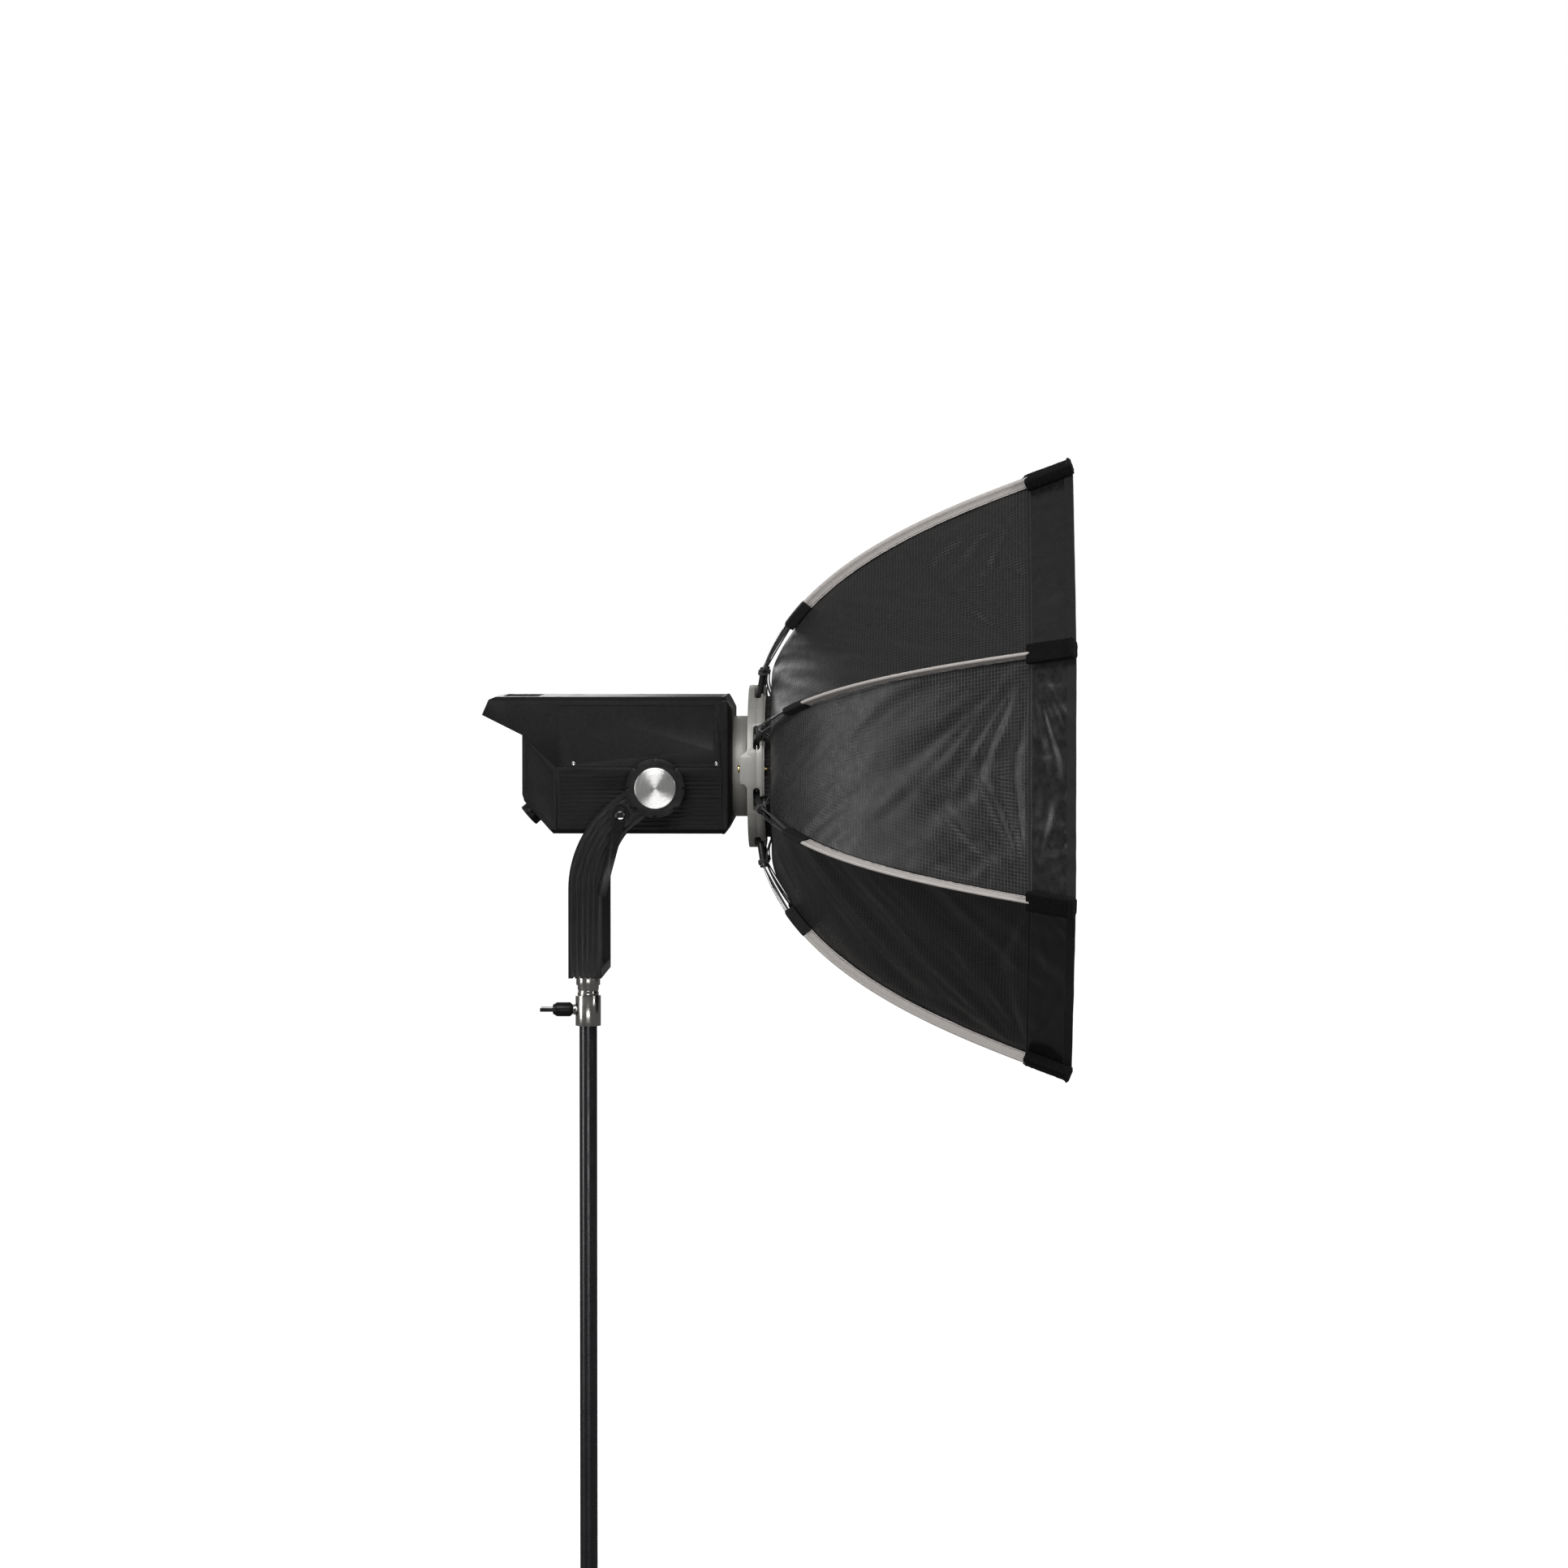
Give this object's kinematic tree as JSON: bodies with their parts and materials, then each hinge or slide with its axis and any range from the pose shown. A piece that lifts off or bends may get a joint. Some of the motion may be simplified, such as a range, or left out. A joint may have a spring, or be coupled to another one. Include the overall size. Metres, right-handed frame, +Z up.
{
  "type": "studio softbox light",
  "caption": "Octagonal folding softbox on a studio lamp head, held by a tilting yoke on the top tube of a light stand.",
  "frame": {"origin": "centre of the stand tube's lower end", "axes": "+X the way the light shines, +Z up along the stand tube"},
  "size_m": [0.8463, 0.8886, 1.6531],
  "materials": {
    "tube_black": "gloss, dark",
    "end_plug": "matte",
    "chrome": "polished",
    "knob_black": "satin",
    "cast_black": "satin black enamel",
    "steel": "satin",
    "lever_black": "satin",
    "shell_charcoal": "fine textured charcoal",
    "shell_dark": "fine textured, darker",
    "panel_black": "gloss",
    "window": "gloss, dark",
    "key_grey": "matte",
    "dial_black": "satin",
    "flange_grey": "matte grey",
    "cap_alu": "spun",
    "ring_black": "satin",
    "sink_alu": "as extruded",
    "lamp_board": "with phosphor disc",
    "glass": "clear",
    "board_green": "satin",
    "adapter_alu": "satin",
    "ring_grey": "fine matte silver grey",
    "brass": "satin",
    "rod_steel": "polished dark spring steel",
    "holder_grey": "satin dark grey",
    "canopy_cloth": "ripstop, silver lining inside",
    "sleeve_cloth": "ribbed light grey tape",
    "webbing": "black webbing",
    "strap_cloth": "black hook-and-loop",
    "diffusion_cloth": "white, translucent"
  },
  "bodies": {
    "stand": {"stand_riser": "tube_black", "riser_plug": "end_plug", "stand_receiver": "chrome"},
    "clamp": {"clamp_screw": "chrome", "clamp_knob": "knob_black"},
    "yoke": {"yoke_frame": "cast_black", "yoke_pin": "chrome", "yoke_collar": "chrome"},
    "lock_lever": {"lever_stud": "steel"},
    "lever_grip": {"lever_handle": "lever_black"},
    "head": {"upper_shell": "shell_charcoal", "lower_shell": "shell_dark", "rear_housing": "shell_charcoal", "rear_panel": "panel_black", "display_window": "window", "front_bezel": "shell_dark", "mount_flange": "flange_grey", "hub_rings": "ring_black", "hub_caps": "cap_alu", "cover_screws": "steel", "lamp_module": "lamp_board", "lamp_glass": "glass", "heat_sink": "sink_alu", "fan_frame": "knob_black", "power_board": "board_green", "mains_inlet": "knob_black", "adapter_ring": "adapter_alu"},
    "fan": {"fan_rotor": "knob_black"},
    "power_switch": {"power_rocker": "knob_black"},
    "dial_l": {"dial_left": "dial_black"},
    "dial_r": {"dial_right": "dial_black"},
    "key_l": {"key_left": "key_grey"},
    "key_m": {"key_middle": "key_grey"},
    "key_r": {"key_right": "key_grey"},
    "softbox": {"speedring_rear": "ring_grey", "speedring_front": "ring_grey", "ring_screws": "steel", "hinge_pins": "steel", "canopy_panels": "canopy_cloth", "rod_sleeves": "sleeve_cloth", "rear_caps": "webbing", "front_straps": "strap_cloth"},
    "ring_lock": {"lock_pin": "brass"},
    "front_cover": {"diffuser": "diffusion_cloth"},
    "rib_1": {"rod_1": "rod_steel", "rod_holder_1": "holder_grey"},
    "rib_2": {"rod_2": "rod_steel", "rod_holder_2": "holder_grey"},
    "rib_3": {"rod_3": "rod_steel", "rod_holder_3": "holder_grey"},
    "rib_4": {"rod_4": "rod_steel", "rod_holder_4": "holder_grey"},
    "rib_5": {"rod_5": "rod_steel", "rod_holder_5": "holder_grey"},
    "rib_6": {"rod_6": "rod_steel", "rod_holder_6": "holder_grey"},
    "rib_7": {"rod_7": "rod_steel", "rod_holder_7": "holder_grey"},
    "rib_8": {"rod_8": "rod_steel", "rod_holder_8": "holder_grey"}
  },
  "joints": [
    {"name": "clamp_turn", "type": "hinge", "parent": "stand", "child": "clamp", "pos_m": [0, 0, 0.8536], "axis": [1, 0, 0], "continuous": true},
    {"name": "yoke_pan", "type": "hinge", "parent": "stand", "child": "yoke", "pos_m": [0, 0, 0.907], "axis": [0, 0, 1], "continuous": true},
    {"name": "lever_turn", "type": "hinge", "parent": "yoke", "child": "lock_lever", "pos_m": [0.05467, -0.101, 1.14237], "axis": [0, 1, 0], "range_deg": [-75, 75]},
    {"name": "lever_pull", "type": "slide", "parent": "lock_lever", "child": "lever_grip", "axis": [0, -1, 0], "range_m": [0, 0.0025], "stiffness_N_per_m": 500},
    {"name": "head_tilt", "type": "hinge", "parent": "yoke", "child": "head", "pos_m": [0.10432, 0, 1.18116], "axis": [0, 1, 0], "range_deg": [-75, 50]},
    {"name": "fan_spin", "type": "hinge", "parent": "head", "child": "fan", "pos_m": [0.05432, 0, 1.20886], "axis": [1, 0, 0], "continuous": true},
    {"name": "power_rock", "type": "hinge", "parent": "head", "child": "power_switch", "pos_m": [-0.08708, 0.06, 1.22356], "axis": [0, 1, 0], "range_deg": [-6, 6]},
    {"name": "dial_left_turn", "type": "hinge", "parent": "head", "child": "dial_l", "pos_m": [-0.07288, 0.052, 1.14705], "axis": [-0.7496, 0, -0.6619], "continuous": true},
    {"name": "dial_right_turn", "type": "hinge", "parent": "head", "child": "dial_r", "pos_m": [-0.07288, -0.052, 1.14705], "axis": [-0.7496, 0, -0.6619], "continuous": true},
    {"name": "key_left_press", "type": "slide", "parent": "head", "child": "key_l", "axis": [1, 0, 0], "range_m": [0, 0.0012], "stiffness_N_per_m": 300},
    {"name": "key_middle_press", "type": "slide", "parent": "head", "child": "key_m", "axis": [1, 0, 0], "range_m": [0, 0.0012], "stiffness_N_per_m": 300},
    {"name": "key_right_press", "type": "slide", "parent": "head", "child": "key_r", "axis": [1, 0, 0], "range_m": [0, 0.0012], "stiffness_N_per_m": 300},
    {"name": "softbox_turn", "type": "hinge", "parent": "head", "child": "softbox", "pos_m": [0.24941, 0, 1.20886], "axis": [1, 0, 0], "continuous": true},
    {"name": "ring_lock_pull", "type": "slide", "parent": "softbox", "child": "ring_lock", "axis": [-1, 0, 0], "range_m": [0, 0.003], "stiffness_N_per_m": 400},
    {"name": "rib_fold_1", "type": "hinge", "parent": "softbox", "child": "rib_1", "pos_m": [0.24941, -0.0375, 1.2994], "axis": [0, 0.9239, 0.3827], "range_deg": [0, 44], "deforming": ["canopy_panels", "rod_sleeves", "rear_caps", "front_straps"]},
    {"name": "rib_fold_2", "type": "hinge", "parent": "softbox", "child": "rib_2", "pos_m": [0.24941, -0.09054, 1.24636], "axis": [0, 0.3827, 0.9239], "range_deg": [0, 44]},
    {"name": "rib_fold_3", "type": "hinge", "parent": "softbox", "child": "rib_3", "pos_m": [0.24941, -0.09054, 1.17135], "axis": [0, -0.3827, 0.9239], "range_deg": [0, 44]},
    {"name": "rib_fold_4", "type": "hinge", "parent": "softbox", "child": "rib_4", "pos_m": [0.24941, -0.0375, 1.11832], "axis": [0, -0.9239, 0.3827], "range_deg": [0, 44]},
    {"name": "rib_fold_5", "type": "hinge", "parent": "softbox", "child": "rib_5", "pos_m": [0.24941, 0.0375, 1.11832], "axis": [0, -0.9239, -0.3827], "range_deg": [0, 44]},
    {"name": "rib_fold_6", "type": "hinge", "parent": "softbox", "child": "rib_6", "pos_m": [0.24941, 0.09054, 1.17135], "axis": [0, -0.3827, -0.9239], "range_deg": [0, 44]},
    {"name": "rib_fold_7", "type": "hinge", "parent": "softbox", "child": "rib_7", "pos_m": [0.24941, 0.09054, 1.24636], "axis": [0, 0.3827, -0.9239], "range_deg": [0, 44]},
    {"name": "rib_fold_8", "type": "hinge", "parent": "softbox", "child": "rib_8", "pos_m": [0.24941, 0.0375, 1.2994], "axis": [0, 0.9239, -0.3827], "range_deg": [0, 44]},
    {"name": "diffuser_off", "type": "slide", "parent": "softbox", "child": "front_cover", "axis": [1, 0, 0], "range_m": [0, 0.768]}
  ],
  "couplings": [
    {"joint": "rib_fold_2", "follows": "rib_fold_1", "ratio": 1},
    {"joint": "rib_fold_3", "follows": "rib_fold_1", "ratio": 1},
    {"joint": "rib_fold_4", "follows": "rib_fold_1", "ratio": 1},
    {"joint": "rib_fold_5", "follows": "rib_fold_1", "ratio": 1},
    {"joint": "rib_fold_6", "follows": "rib_fold_1", "ratio": 1},
    {"joint": "rib_fold_7", "follows": "rib_fold_1", "ratio": 1},
    {"joint": "rib_fold_8", "follows": "rib_fold_1", "ratio": 1},
    {"joint": "diffuser_off", "follows": "rib_fold_1", "m_per_rad": 1}
  ]
}
